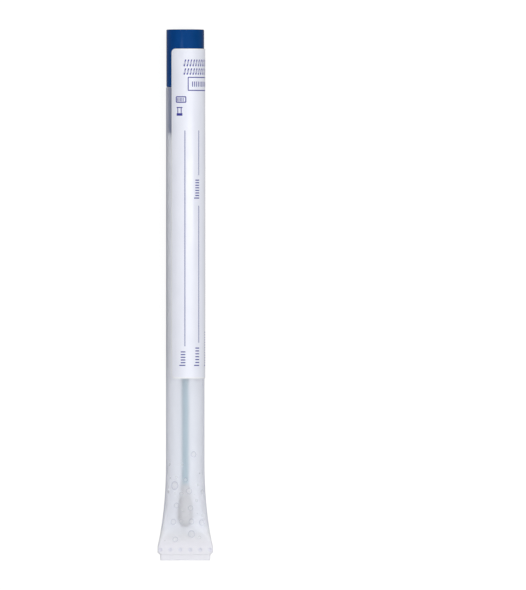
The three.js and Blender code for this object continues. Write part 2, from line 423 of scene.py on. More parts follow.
def label_material():
    g = Graph("label_film")
    mottle = g.noise(0.25, (1, 0.5, 1), 4)
    colour = g.blend(
        g.span(mottle, 0, 1), rgba(0.83, 0.85, 0.945), rgba(0.865, 0.885, 0.975)
    )
    colour = g.blend(g.point_value("margin"), colour, rgba(0.97, 0.975, 1.0))
    grain = g.noise(7.0, (1, 1, 1), 4, 0.6)
    shader = g.node(
        "ShaderNodeBsdfPrincipled",
        {
            "Base Color": colour,
            "Roughness": g.span(grain, 0.15, 0.18),
            "Normal": g.bump(grain, 0.001),
        },
    ).outputs[0]
    return g.finish(shader)


def ink_material():
    g = Graph("label_ink")
    cover = g.noise(3.0, (1, 1, 1), 4, 0.7)
    colour = g.blend(
        g.span(cover, 0, 1), rgba(0.018, 0.018, 0.27), rgba(0.045, 0.042, 0.33)
    )
    shader = g.node(
        "ShaderNodeBsdfPrincipled",
        {"Base Color": colour, "Roughness": g.span(cover, 0.3, 0.42)},
    ).outputs[0]
    return g.finish(shader)


def moisture_material():
    g = Graph("moisture")
    # Painted shade and light: each drop is painted darker towards its rim, through a tinted
    # clear layer and a dark diffuse layer, and a near-white diffuse layer lifts its middle as
    # painted light.
    ripple = g.noise(1.5, (1, 1, 1), 2)
    rim = g.point_value("rim")
    edge = g.math("POWER", rim, 2.0)
    painted_middle_light = g.blend(g.span(ripple, 0, 1), rgba(0.94, 0.95, 0.99), rgba(0.97, 0.98, 1.0))
    painted_drop_shading = g.blend(edge, painted_middle_light, rgba(0.50, 0.50, 0.60))
    skin = g.node("ShaderNodeBsdfDiffuse", {"Color": painted_drop_shading}).outputs[0]
    gloss = g.node("ShaderNodeBsdfGlossy", {"Color": WHITE, "Roughness": 0.2}).outputs[0]
    clear = g.node("ShaderNodeBsdfTransparent", {"Color": WHITE}).outputs[0]
    painted_rim_shade = g.blend(g.math("POWER", rim, 4.0), WHITE, rgba(0.74, 0.74, 0.81))
    bent = g.node("ShaderNodeBsdfTransparent", {"Color": painted_rim_shade}).outputs[0]
    seen = g.mixed(g.span(edge, 0.24, 0.14, 0, 1), bent, skin)
    seen = g.mixed(g.span(edge, 0.010, 0.008, 0, 1), seen, gloss)
    return g.finish_for_lamps(seen, clear)


# ------------------------------------------------------------------ the tube

TUBE_SEGMENTS = 288
TUBE_SHARP_DEG = 38
FLARE_ROWS = 72
FLARE_CROWDING = 1.35  # brings the rows closer together towards the band
STRAIGHT_ROWS = 7
BAND_ROWS = 26
CHAMFER_ROWS = 4
CHAMFER_LIP = 0.02  # the chamfer ends this much wider than the tail
TAIL_ROWS = (0.33, 0.66, 0.95)
MOUTH_EDGE = 0.12
STEP_EDGE = 0.08
CUT_EDGE = 0.06
# Halfway between these heights the skin's milk is painted whiter: painted light on the taper,
# which slopes away from the lamps.
WELD_FADE = (0.6, 6.8)  # heights above the band between which the weld's milkiness fades
PIN_SHADE_REACH = 0.85  # how far from its middle a pin's mark is shaded at all
PIN_SHADE_FADE = 0.5


def ellipse_girth(a, b):
    h = ((a - b) / (a + b)) ** 2
    return math.pi * (a + b) * (1 + 3 * h / (10 + math.sqrt(4 - 3 * h)))


def bore_half_height(half_width):
    """Half-height of the flattened bore at a half-width: its girth is the round bore's."""
    girth = 2 * math.pi * bore_radius
    low, high = 0.0, bore_radius
    for _ in range(40):
        middle = (low + high) / 2
        if ellipse_girth(half_width, middle) > girth:
            high = middle
        else:
            low = middle
    return low


def section_at(y):
    """The tube's section at y.

    It is (half width, half height) for the bore, and the same with the flatness for the skin.
    """
    if y >= flare_top_y:
        return (bore_radius, bore_radius), (TUBE_RADIUS, TUBE_RADIUS, 0.0)
    share = (flare_top_y - y) / FLARE_LENGTH
    half_width = mix(TUBE_RADIUS, band_half_width, share**FLARE_POWER)
    opened = smooth((y - band_top_y) / JAW_SHOULDER)
    bore_height = bore_half_height(half_width - TUBE_WALL) * opened
    wall = mix(band_half_thickness, TUBE_WALL, opened)
    return (
        (half_width - TUBE_WALL, bore_height),
        (half_width, bore_height + wall, 1 - opened),
    )


def from_pin(x, y):
    """How far a point of the band is from the middle of the nearest pin's mark."""
    away_y = y - (band_top_y - DIMPLE_SETBACK)
    step = round(x / DIMPLE_PITCH - 0.5) + 0.5
    limit = (DIMPLE_COUNT - 1) / 2
    away_x = x - max(-limit, min(limit, step)) * DIMPLE_PITCH
    return math.hypot(away_x, away_y)


def dimple_depth(x, y):
    """How deep the pins have pressed the band's faces at a point."""
    pin = (DIMPLE_RADIUS**2 + DIMPLE_DEPTH**2) / (2 * DIMPLE_DEPTH)
    away = from_pin(x, y)
    if away >= DIMPLE_RADIUS:
        return 0.0
    return math.sqrt(pin**2 - away**2) - (pin - DIMPLE_DEPTH)


def outline_point(angle, half_width, half_height, flatness):
    """x of a section's outline, and its height: an ellipse that goes over to flat sides."""
    x = half_width * math.sin(angle)
    side = max(0.0, abs(x) - (half_width - half_height))
    stadium = math.sqrt(max(0.0, half_height**2 - side**2))
    return x, mix(half_height * abs(math.cos(angle)), stadium, flatness)


def tube_ring(y, half_width, half_height, flatness=0.0, pressed=False):
    ring = []
    for i in range(TUBE_SEGMENTS):
        angle = facet_angle(i, TUBE_SEGMENTS)
        x, z = outline_point(angle, half_width, half_height, flatness)
        if pressed:
            z -= dimple_depth(x, y)
        ring.append((x, y, math.copysign(z, math.cos(angle))))
    return ring


def make_tube(skin, bore):
    flare = [
        mix(flare_top_y, band_top_y, 1 - (1 - i / FLARE_ROWS) ** FLARE_CROWDING)
        for i in range(FLARE_ROWS + 1)
    ]
    straight = [-0.15, -2.0]
    straight += [
        mix(straight[1], flare_top_y, (i + 1) / (STRAIGHT_ROWS + 1))
        for i in range(STRAIGHT_ROWS)
    ]
    rings = []
    for y in reversed(flare):
        (a, b), _ = section_at(y)
        rings.append(tube_ring(y, a, b))
    for y in reversed(straight):
        rings.append(tube_ring(y, bore_radius, bore_radius))
    for radius in (bore_radius + MOUTH_EDGE, TUBE_RADIUS - MOUTH_EDGE):
        rings.append(tube_ring(0.0, radius, radius))
    for y in straight:
        rings.append(tube_ring(y, TUBE_RADIUS, TUBE_RADIUS))
    for y in flare:
        _, (a, b, flat) = section_at(y)
        rings.append(tube_ring(y, a, b, flat))
    chamfer_y = band_end_y + CHAMFER_LENGTH
    for i in range(1, BAND_ROWS + 1):
        y = mix(band_top_y, chamfer_y, i / BAND_ROWS)
        rings.append(tube_ring(y, band_half_width, band_half_thickness, 1, True))
    for i in range(1, CHAMFER_ROWS + 1):
        share = i / CHAMFER_ROWS
        y = mix(chamfer_y, band_end_y + STEP_EDGE, share)
        half = mix(band_half_width, tail_half_width + CHAMFER_LIP, share)
        rings.append(tube_ring(y, half, band_half_thickness, 1))
    cut_half = tail_half_width - TAIL_TAPER
    tail = [
        (band_end_y, tail_half_width, band_half_thickness - STEP_EDGE),
        (band_end_y, tail_half_width, tail_half_thickness + STEP_EDGE),
        (band_end_y - STEP_EDGE, tail_half_width, tail_half_thickness),
    ]
    for share in TAIL_ROWS:
        y = mix(band_end_y, tail_end_y, share)
        tail.append((y, mix(tail_half_width, cut_half, share), tail_half_thickness))
    for half_height in (tail_half_thickness - CUT_EDGE, 0.0):
        tail.append((tail_end_y, cut_half - CUT_EDGE, half_height))
    rings += [tube_ring(y, half, half_height, 1) for y, half, half_height in tail]
    points = [p for ring in rings for p in ring]
    faces = ring_faces(len(rings), TUBE_SEGMENTS)
    tube = mesh_piece("tube_body", points, faces, "tube", skin, "tube")
    tube.data.materials.append(bore)
    bore_faces = (len(flare) + len(straight) - 1) * TUBE_SEGMENTS
    for face in tube.data.polygons[:bore_faces]:
        face.material_index = 1
    weld_points(tube)
    sharpen(tube, TUBE_SHARP_DEG)
    places = [v.co / MM for v in tube.data.vertices]
    near, far = WELD_FADE
    above = [p.y - MOUTH_Y - band_top_y for p in places]
    # welded sets the weld's milkiness; halfway along its fade the skin's material also paints
    # the taper whiter, as painted light
    welded = [1 - smooth((up - near) / (far - near)) for up in above]
    # how strongly the skin's material paints shade into the pins' marks
    pressed = [
        smooth((PIN_SHADE_REACH - from_pin(p.x, p.y - MOUTH_Y)) / PIN_SHADE_FADE)
        for p in places
    ]
    point_values(tube, "welded", welded)
    point_values(tube, "pressed", pressed)


# ------------------------------------------------------------------ turned pieces

TURNED_SHARP_DEG = 35
EDGE_STEPS = 7
CAP_SEGMENTS = 160
GATE_RADIUS = 1.0
GATE_FLOOR_RADIUS = 0.85
GATE_DEPTH = 0.08
STEM_SEGMENTS = 72
STEM_STEPS = 12

def turned(name, outline, segments, body, material, replaces):
    """A solid turned about the axis from [radius, y] points. Radius 0 closes it."""
    points = [
        polar(radius, facet_angle(i, segments), y)
        for radius, y in outline
        for i in range(segments)
    ]
    faces = ring_faces(len(outline), segments)
    piece = mesh_piece(name, points, faces, body, material, replaces)
    weld_points(piece)
    sharpen(piece, TURNED_SHARP_DEG)
    return piece


def rounded_edge(centre_radius, centre_y, edge, from_deg, to_deg):
    """An arc of an outline, as [radius, y] points."""
    arc = []
    for i in range(EDGE_STEPS + 1):
        angle = math.radians(mix(from_deg, to_deg, i / EDGE_STEPS))
        arc.append(
            (centre_radius + edge * math.cos(angle), centre_y + edge * math.sin(angle))
        )
    return arc


def make_cap(material):
    land = bore_radius + PLUG_GRIP
    nose = bore_radius + PLUG_GRIP / 4
    lead_y = -PLUG_LENGTH + PLUG_LEAD_LENGTH
    hollow = nose - PLUG_WALL
    socket = STEM_RADIUS + STEM_CLEARANCE
    boss = socket + SOCKET_WALL
    outline = [
        (0, socket_roof_y),
        (socket, socket_roof_y),
        (socket, -PLUG_LENGTH),
        (boss, -PLUG_LENGTH),
        (boss, socket_roof_y),
        (hollow, socket_roof_y),
        (hollow, -PLUG_LENGTH),
        (nose - PLUG_LEAD_DEPTH, -PLUG_LENGTH),
        (nose, lead_y),
        (nose, -PLUG_LAND_LENGTH - PLUG_RELIEF),
        (land, -PLUG_LAND_LENGTH),
        (land, SEAT_GAP),
        *rounded_edge(
            crown_radius - CROWN_LOWER_EDGE,
            SEAT_GAP + CROWN_LOWER_EDGE,
            CROWN_LOWER_EDGE,
            -90,
            0,
        ),
        *rounded_edge(
            crown_radius - CROWN_TOP_EDGE,
            CROWN_LENGTH - CROWN_TOP_EDGE,
            CROWN_TOP_EDGE,
            0,
            90,
        ),
        (GATE_RADIUS, CROWN_LENGTH),
        (GATE_FLOOR_RADIUS, CROWN_LENGTH - GATE_DEPTH),
        (0, CROWN_LENGTH - GATE_DEPTH),
    ]
    return turned(
        "cap_body", outline, CAP_SEGMENTS, "stopper", material, "cap"
    )


def make_stem(material):
    top = socket_roof_y - STEM_CLEARANCE
    foot = stem_end_y + STEM_EDGE
    lengths = [mix(foot, top - STEM_EDGE, i / STEM_STEPS) for i in range(STEM_STEPS + 1)]
    outline = [
        (0, stem_end_y),
        (STEM_RADIUS - STEM_EDGE, stem_end_y),
        (STEM_RADIUS - STEM_EDGE * 0.3, stem_end_y + STEM_EDGE * 0.3),
        *[(STEM_RADIUS, y) for y in lengths],
        (STEM_RADIUS - STEM_EDGE, top),
        (0, top),
    ]
    turned(
        "swab_stem_rod",
        outline,
        STEM_SEGMENTS,
        "stopper",
        material,
        "swab_stem",
    )


# ------------------------------------------------------------------ the fibre tip

TIP_SEGMENTS = 168
TIP_ROWS = 190
TIP_CROWDING = 0.35  # brings the rows closer together round the end
TIP_TUCK = 1.0  # how far the neck's edge turns back in under the bud
WINDING_DEPTH = 0.085
WINDING_STRANDS = ((3, 21.0, 0.0), (-4, 17.0, 1.7), (7, 34.0, 0.6))  # starts, rate, shift
RELIEF_RADIUS = 1.2  # where the bud is thinner than this, its relief is weaker
NECK_RELIEF = 0.35  # what is left of the relief at the neck
NECK_FADE = 0.25  # the share of the bud's length over which it weakens to that

HAIR_COUNT = 520
HAIR_SEED = 11
HAIR_STEPS = 6
HAIR_SPREAD = (0.01, 0.97)  # where on the bud the hairs start, as shares of its length
HAIR_LENGTH = (0.5, 1.7)
HAIR_LEAN = (0.5, 1.35)  # angle from the swab's length, to either side
HAIR_LIFT = (0.02, 0.16)
HAIR_RADIUS = (0.008, 0.013)
HAIR_TAPER = 0.6
HAIR_ROOT = 0.03  # how deep in the bud a hair starts
HAIR_WAVE = 0.02


def tip_profile(share):
    """Radius and y of the bud's surface, from 0 at its round end to 1 at its neck."""
    neck = STEM_RADIUS + STEM_CLEARANCE + TIP_NECK_FIBRE
    widest = STEM_RADIUS + TIP_FIBRE
    widest_y = tip_end_y + widest * TIP_ROUNDING
    y = mix(tip_end_y, tip_start_y, share)
    if y < widest_y:
        drop = (widest_y - y) / (widest_y - tip_end_y)
        return widest * math.sqrt(max(0.0, 1 - drop * drop)), y
    along = (y - widest_y) / (tip_start_y - widest_y)
    return mix(widest, neck, smooth(along**TIP_FULLNESS)), y


def winding(angle, y):
    """Relief of the wound fibre, about 0 to 1: strands that cross each other at a low angle."""
    where = Vector((math.sin(angle) * 1.6, y * 0.9, math.cos(angle) * 1.6))
    drift = noise.noise(where * 0.8) * 2.2
    total = 0.0
    for starts, rate, shift in WINDING_STRANDS:
        phase = starts * angle + rate * y * 0.55 + drift + shift
        total += 0.5 + 0.5 * math.sin(phase + 1.3 * noise.noise(where * 3.1))
    fine = noise.noise(where * 6.5)
    return total / len(WINDING_STRANDS) + 0.35 * fine


def make_tip(material):
    points = []
    for row in range(TIP_ROWS):
        share = row / (TIP_ROWS - 1)
        share = mix(share, share * share, TIP_CROWDING)
        radius, y = tip_profile(share)
        fade = mix(NECK_RELIEF, 1.0, smooth((1 - share) / NECK_FADE))
        fade *= min(1.0, radius / RELIEF_RADIUS)
        for i in range(TIP_SEGMENTS):
            angle = facet_angle(i, TIP_SEGMENTS)
            sunk = fade * WINDING_DEPTH * (1 - winding(angle, y))
            points.append(polar(max(radius - sunk, 0.0), angle, y))
    inner = STEM_RADIUS + STEM_CLEARANCE * 0.4
    # the neck turns in and ends in a disc that lies inside the stem
    inner_y = tip_start_y - TIP_TUCK
    for radius, y in ((inner, tip_start_y + 0.02), (inner, inner_y), (0.0, inner_y)):
        points += [polar(radius, facet_angle(i, TIP_SEGMENTS), y) for i in range(TIP_SEGMENTS)]
    faces = ring_faces(TIP_ROWS + 3, TIP_SEGMENTS)
    tip = mesh_piece(
        "swab_tip_wound", points, faces, "stopper", material, "swab_tip"
    )
    weld_points(tip)


def make_hairs(material):
    """Loose ends of fibre that stand a little off the winding."""
    draw = random.Random(HAIR_SEED)
    points, faces = [], []
    for _ in range(HAIR_COUNT):
        share = draw.uniform(*HAIR_SPREAD) ** 1.15
        angle = draw.uniform(0, 2 * math.pi)
        length = draw.uniform(*HAIR_LENGTH)
        lean = draw.choice((-1, 1)) * draw.uniform(*HAIR_LEAN)
        lift = draw.uniform(*HAIR_LIFT) * (1.0 if share > 0.05 else 0.6)
        thick = draw.uniform(*HAIR_RADIUS)
        path = []
        _, y0 = tip_profile(share)
        for s in range(HAIR_STEPS + 1):
            along = s / HAIR_STEPS
            y = y0 + length * along * math.cos(lean)
            y = min(tip_start_y - 0.05, max(tip_end_y + 0.02, y))
            radius, _ = tip_profile((y - tip_end_y) / TIP_LENGTH)
            turn = angle + length * along * math.sin(lean) / max(radius, 0.8)
            wave = HAIR_WAVE * math.sin(5 * along + angle)
            out = radius - HAIR_ROOT + lift * along**1.5 + wave
            path.append(Vector(polar(out, turn, y)))
        base = len(points)
        for s, here in enumerate(path):
            ahead = path[min(s + 1, HAIR_STEPS)] - path[max(s - 1, 0)]
            ahead.normalize()
            across = ahead.cross(Vector((here.x, 0, here.z)).normalized()).normalized()
            up = across.cross(ahead).normalized()
            size = thick * (1 - HAIR_TAPER * s / HAIR_STEPS)
            for k in range(3):
                a = k * 2 * math.pi / 3
                side = across * math.cos(a) + up * math.sin(a)
                points.append(tuple(here + side * size))
        faces += ring_faces(HAIR_STEPS + 1, 3, base)
        faces.append((base, base + 1, base + 2))
        last = base + HAIR_STEPS * 3
        faces.append((last + 2, last + 1, last))
    hairs = mesh_piece(
        "swab_tip_hairs", points, faces, "stopper", material
    )
    weld_points(hairs, 1e-9)


# ------------------------------------------------------------------ label and print

LABEL_SHARP_DEG = 50
LABEL_COLUMNS = 150
CORNER_COLUMNS = 10
LABEL_ROWS = 6
LABEL_MARGIN = 0.55
LABEL_ROUNDING = 0.05
PALE_EDGE = 0.2  # the cut edge of the film is paler to this depth
PALE_FADE = 0.25


def on_label(across, y, radius):
    """A point on the bent label: across is the distance round the tube from its top line."""
    return polar(radius, across / label_outer_radius, y)


def make_label(material):
    middle_radius = (label_inner_radius + label_outer_radius) / 2
    middle = math.radians(LABEL_MIDDLE_DEG)
    half = LABEL_WIDTH / middle_radius / 2
    start, end = middle - half, middle + half
    corner = LABEL_CORNER / middle_radius
    near = [
        1 - math.cos(math.pi / 2 * i / CORNER_COLUMNS) for i in range(CORNER_COLUMNS + 1)
    ]
    columns = [start + corner * s for s in near]
    columns += [
        mix(start + corner, end - corner, i / LABEL_COLUMNS) for i in range(1, LABEL_COLUMNS)
    ]
    columns += [end - corner * s for s in reversed(near)]
    rows_near = [0.0, LABEL_ROUNDING * 0.3, LABEL_ROUNDING]
    rows_near += [LABEL_MARGIN * 0.55, LABEL_MARGIN, LABEL_MARGIN * 1.35]
    points, weights = [], []
    row_count = 2 * len(rows_near) + LABEL_ROWS
    for outside in (True, False):
        for angle in columns:
            to_edge = min(angle - start, end - angle) * middle_radius
            short = max(0.0, LABEL_CORNER - to_edge)
            inset = LABEL_CORNER - math.sqrt(max(0.0, LABEL_CORNER**2 - short**2))
            top, foot = label_top_y - inset, label_end_y + inset
            ys = [top - s for s in rows_near]
            high, low = ys[-1], foot + rows_near[-1]
            ys += [mix(high, low, (i + 1) / (LABEL_ROWS + 1)) for i in range(LABEL_ROWS)]
            ys += [foot + s for s in reversed(rows_near)]
            for y in ys:
                depth = min(top - y, y - foot, to_edge)
                bevel = LABEL_ROUNDING - min(LABEL_ROUNDING, depth)
                radius = label_outer_radius - bevel * 0.8 if outside else label_inner_radius
                points.append(polar(radius, angle, y))
                weights.append(1 - smooth((depth - PALE_EDGE) / PALE_FADE))
    n_cols = len(columns)
    faces = []
    side = n_cols * row_count
    for c in range(n_cols - 1):
        for r in range(row_count - 1):
            a = c * row_count + r
            b = a + row_count
            faces.append((a, a + 1, b + 1, b))
            faces.append((side + a, side + b, side + b + 1, side + a + 1))
    border = [c * row_count for c in range(n_cols)]
    border += [(n_cols - 1) * row_count + r for r in range(1, row_count)]
    border += [c * row_count + row_count - 1 for c in range(n_cols - 2, -1, -1)]
    border += [r for r in range(row_count - 2, 0, -1)]
    for i, a in enumerate(border):
        b = border[(i + 1) % len(border)]
        faces.append((a, b, side + b, side + a))
    label = mesh_piece(
        "label_film_wrap", points, faces, "tube", material, "label"
    )
    point_values(label, "margin", weights)
    weld_points(label)
    sharpen(label, LABEL_SHARP_DEG)


INK_HEIGHT = 0.012
BLOCK_STEP = 0.3  # the longest flat piece of a block that bends round the tube
FRAME_STEP = 0.4

# The form, in mm across the label from its top line, and down from its upper edge.
HEADER_BANDS = ((3.4, 5.5), (6.15, 8.1))
HEADER_START, FORM_END = -0.55, 13.6
COLUMN_START, COLUMN_PITCH = -0.08, 4.72
COLUMNS = (  # lines, and rows of bars, of each ruled column
    (((25.5, 92.7),), ((94.3, 98.8),)),
    (((25.5, 39.4), (48.9, 91.6)), ((40.8, 46.7), (93.1, 98.8))),
    (((25.5, 86.5),), ((88.2, 98.8),)),
)
RULE_WIDTH = 0.22
RULE_STEPS = 12
BAR_PITCH = 0.78
BAR_WIDTH = 0.32
BAR_REACH = 1.3
FIRST_BAR_REACH = 1.75


class Print:
    """Collects flat printed shapes and bends them onto the label."""

    def __init__(self):
        self.points, self.faces = [], []

    def band(self, left, right):
        """Two polylines of equal length, joined by quads: [(across, y), ...]."""
        radius = label_outer_radius + INK_HEIGHT
        base = len(self.points)
        for a, b in zip(left, right):
            self.points.append(on_label(*a, radius))
            self.points.append(on_label(*b, radius))
        for i in range(len(left) - 1):
            k = base + 2 * i
            self.faces.append((k, k + 1, k + 3, k + 2))

    def stroke(self, path, width, closed=False):
        """A line of a given width through points (across, y), mitred at its corners."""
        count = len(path)
        left, right = [], []
        for i in range(count):
            here = Vector(path[i])
            before = Vector(path[(i - 1) % count]) if closed or i else None
            after = Vector(path[(i + 1) % count]) if closed or i + 1 < count else None
            into = (here - before).normalized() if before is not None else None
            out = (after - here).normalized() if after is not None else into
            into = into if into is not None else out
            middle = (into + out).normalized()
            across = Vector((-middle.y, middle.x))
            miter = 1 / max(0.5, across.dot(Vector((-into.y, into.x))))
            left.append(tuple(here + across * width / 2 * miter))
            right.append(tuple(here - across * width / 2 * miter))
        if closed:
            left.append(left[0])
            right.append(right[0])
        self.band(left, right)

    def block(self, x0, x1, y0, y1):
        steps = max(1, math.ceil(abs(x1 - x0) / BLOCK_STEP))
        xs = [mix(x0, x1, i / steps) for i in range(steps + 1)]
        self.band([(x, y0) for x in xs], [(x, y1) for x in xs])

    def bars(self, first, last, pitch, width, y0, y1):
        """Upright bars in a row, each of which starts before last."""
        x = first
        while x < last:
            self.block(x, x + width, y0, y1)
            x += pitch

    def frame_box(self, x0, x1, y0, y1, width, corner):
        """A rectangle's outline with rounded corners."""
        path = []
        for cx, cy, start in (
            (x1 - corner, y1 - corner, 90),
            (x1 - corner, y0 + corner, 0),
            (x0 + corner, y0 + corner, -90),
            (x0 + corner, y1 - corner, -180),
        ):
            for k in range(5):
                a = math.radians(start - 22.5 * k)
                path.append((cx + corner * math.cos(a), cy + corner * math.sin(a)))
        dense = []
        for i, here in enumerate(path):
            there = path[(i + 1) % len(path)]
            steps = max(1, math.ceil(math.dist(here, there) / FRAME_STEP))
            for k in range(steps):
                dense.append(
                    (mix(here[0], there[0], k / steps), mix(here[1], there[1], k / steps))
                )
        self.stroke(dense, width, closed=True)

    def hatch(self, x0, x1, y0, y1, pitch, width, slant):
        """A row of slanting strokes, as a plain printed band."""
        x = x0
        while x + slant + width <= x1:
            self.stroke([(x + width / 2, y0), (x + width / 2 + slant, y1)], width)
            x += pitch

    def piece(self, name, material):
        mesh_piece(name, self.points, self.faces, "tube", material)


def make_print(material):
    """A write-on form: two header bands, a boxed field, two small marks and ruled columns."""
    ink = Print()
    top = label_top_y
    for first, last in HEADER_BANDS:
        ink.hatch(HEADER_START, FORM_END, top - last, top - first, 0.95, 0.42, 0.5)
    # boxed field
    ink.frame_box(0.95, FORM_END, top - 13.0, top - 8.95, 0.3, 0.12)
    ink.bars(2.2, 12.6, 0.72, 0.28, top - 11.85, top - 10.25)
    # small framed mark
    ink.frame_box(-2.85, 0.2, top - 16.7, top - 15.0, 0.32, 0.2)
    ink.bars(-2.5, -0.3, 0.45, 0.2, top - 16.4, top - 15.35)
    # small mark over a solid block
    ink.block(-2.72, -0.86, top - 18.5, top - 18.2)
    for x in (-2.35, -1.25):
        ink.stroke([(x, top - 18.5), (x, top - 20.1)], 0.26)
    ink.block(-2.72, -0.86, top - 20.9, top - 20.1)
    # ruled columns, with a short row of bars at the foot of each field
    for column, (lines, words) in enumerate(COLUMNS):
        x = COLUMN_START + column * COLUMN_PITCH
        for first, last in lines:
            y0, y1 = top - last, top - first
            path = [
                (x, y0 + (y1 - y0) * k / RULE_STEPS) for k in range(RULE_STEPS + 1)
            ]
            ink.stroke(path, RULE_WIDTH)
        for first, last in words:
            y0, y1 = top - last, top - first
            count = round((y1 - y0) / BAR_PITCH)
            for k in range(count):
                y = mix(y0, y1 - BAR_WIDTH, k / (count - 1))
                reach = BAR_REACH if k else FIRST_BAR_REACH
                ink.block(x - reach, x + 0.15, y, y + BAR_WIDTH)
    ink.piece("label_print", material)


# ------------------------------------------------------------------ moisture

# Drops on the wall's inside, on top: distance from the axis, distance from the cut end and
# radius, in mm. They are drawn just over the skin. make_drops() adds smaller ones, and some
# on the underside.
DROPS = (
    (2.6, 33.1, 0.94),
    (-0.8, 29.9, 0.38),
    (-2.8, 26.0, 0.5),
    (0.1, 25.2, 0.76),
    (4.0, 23.7, 0.38),
    (-3.3, 23.4, 1.3),
    (1.2, 21.7, 0.98),
    (-5.2, 21.4, 0.54),
    (5.3, 21.4, 0.82),
    (-1.2, 20.9, 0.66),
    (-3.2, 20.9, 0.44),
    (3.5, 18.8, 0.54),
    (-2.7, 17.2, 0.88),
    (1.7, 16.4, 0.88),
    (-0.8, 15.8, 0.44),
    (5.4, 14.1, 0.54),
    (-1.3, 12.3, 0.7),
    (2.0, 12.2, 0.88),
    (-3.7, 12.1, 0.98),
    (5.2, 11.8, 0.98),
    (2.0, 8.3, 1.1),
    (4.5, 7.3, 0.54),
    (-3.1, 6.6, 0.88),
)


def skin_point(angle, y):
    """A point of the tube's outside, as tube_ring() draws it."""
    x, z = outline_point(angle, *section_at(y)[1])
    return Vector((x, y, math.copysign(z, math.cos(angle))))


def skin_frame(angle, y):
    """The skin's point, its outward normal, and how far it moves for a small turn."""
    small = 1e-3
    around = skin_point(angle + small, y) - skin_point(angle - small, y)
    along = skin_point(angle, y + small) - skin_point(angle, y - small)
    here = skin_point(angle, y)
    out = around.cross(along).normalized()
    if out.dot(Vector((here.x, 0, here.z))) < 0:
        out = -out
    return here, out, around.length / 2 / small


DROP_SIDE_LEAN = 0.35  # how far a drop's normals lean sideways, against along the tube
DROP_RINGS = (0.0, 0.2, 0.4, 0.55, 0.7, 0.8, 0.88, 0.95, 1.0)
DROP_SEGMENTS = 28
DROP_SEED = 5
DROP_LIFT = 0.03
DROP_SWELL = 0.012
LOWER_DROP_LIFT = 0.006
SMALL_DROPS = 8
LOWER_DROPS = 12
SIDE_LIMIT = 0.985  # how far out on the section's half-width a drop may be


def around_the_tube(v):
    return Vector((v.x, 0, v.z))


def add_drop(drops, x, from_cut, radius, draw, upper=True):
    """A drop that wets the wall behind the skin: a round spot, hollowed by its normals."""
    points, faces, normals, rims = drops
    lift = DROP_LIFT if upper else LOWER_DROP_LIFT
    y0 = tail_end_y + from_cut
    _, (a, _, _) = section_at(y0)
    angle0 = math.asin(max(-SIDE_LIMIT, min(SIDE_LIMIT, x / a)))
    if not upper:
        angle0 = math.pi - angle0
    middle, _, speed = skin_frame(angle0, y0)
    long = draw.uniform(0.94, 1.08)
    steep = math.sin(math.radians(draw.uniform(36, 46)))
    base = len(points)
    for share in DROP_RINGS:
        for k in range(DROP_SEGMENTS):
            turn = 2 * math.pi * k / DROP_SEGMENTS
            away = radius * share
            angle = angle0 + away * math.cos(turn) / speed
            y = y0 + away * math.sin(turn) * long
            here, out, _ = skin_frame(angle, y)
            points.append(tuple(here + out * (lift + DROP_SWELL * (1 - share**4))))
            inward = middle - here
            inward -= out * inward.dot(out)
            tilt = steep * share
            if inward.length > 1e-6:
                lean = inward.normalized() * tilt
                lean -= around_the_tube(lean) * (1 - DROP_SIDE_LEAN)
                out = out * math.sqrt(1 - lean.length_squared) + lean
            normals.append(tuple(out.normalized()))
            # rim also sets how strongly the material paints a drop's ring of shade, which is
            # weaker on small drops
            rims.append(share * mix(0.4, 1.0, min(1.0, radius / 0.8)))
    for r in range(len(DROP_RINGS) - 1):
        for k in range(DROP_SEGMENTS):
            p = base + r * DROP_SEGMENTS + k
            q = base + r * DROP_SEGMENTS + (k + 1) % DROP_SEGMENTS
            faces.append((p, p + DROP_SEGMENTS, q + DROP_SEGMENTS, q))


def make_drops(material):
    draw = random.Random(DROP_SEED)
    drops = ([], [], [], [])
    for x, from_cut, radius in DROPS:
        add_drop(drops, x, from_cut, radius, draw)
    for _ in range(SMALL_DROPS):
        from_cut = draw.uniform(6, 34)
        _, (a, _, _) = section_at(tail_end_y + from_cut)
        x = draw.uniform(-0.85, 0.85) * a
        add_drop(drops, x, from_cut, draw.uniform(0.12, 0.24), draw)
    for _ in range(LOWER_DROPS):
        from_cut = draw.uniform(7, 34)
        _, (a, _, _) = section_at(tail_end_y + from_cut)
        x = draw.uniform(-0.8, 0.8) * a
        add_drop(drops, x, from_cut, draw.uniform(0.15, 0.85) ** 1.3, draw, False)
    points, faces, normals, rims = drops
    piece = mesh_piece("moisture_drops", points, faces, "tube", material)
    point_values(piece, "rim", rims)
    piece.data.normals_split_custom_set_from_vertices(normals)


# ------------------------------------------------------------------ studio, in metres

FLOOR_REACH = 6.0
FLOOR_Z = -0.00004  # just under the lowest drop
FLOOR_GLOW = 0.86  # what makes the white floor clip to white, for rays that see it
FLOOR_GLOW_MIRRORED = 0.5  # the same in reflections
FLOOR_GLOW_THROUGH = 0.98  # the same behind the tube, where its shadow falls

WORLD_THROUGH = 0.85  # how white the backdrop is where the tube bends the view sideways
SKY_RISE = (0.05, 0.9)  # heights of the sky between which its light goes up
SKY_LIGHT = (0.54, 0.80)  # its light at those heights

CAMERA_DISTANCE = 6.0
CAMERA_X = 0.02424
VIEW_WIDTH = 0.18392
SENSOR_MM = 36.0


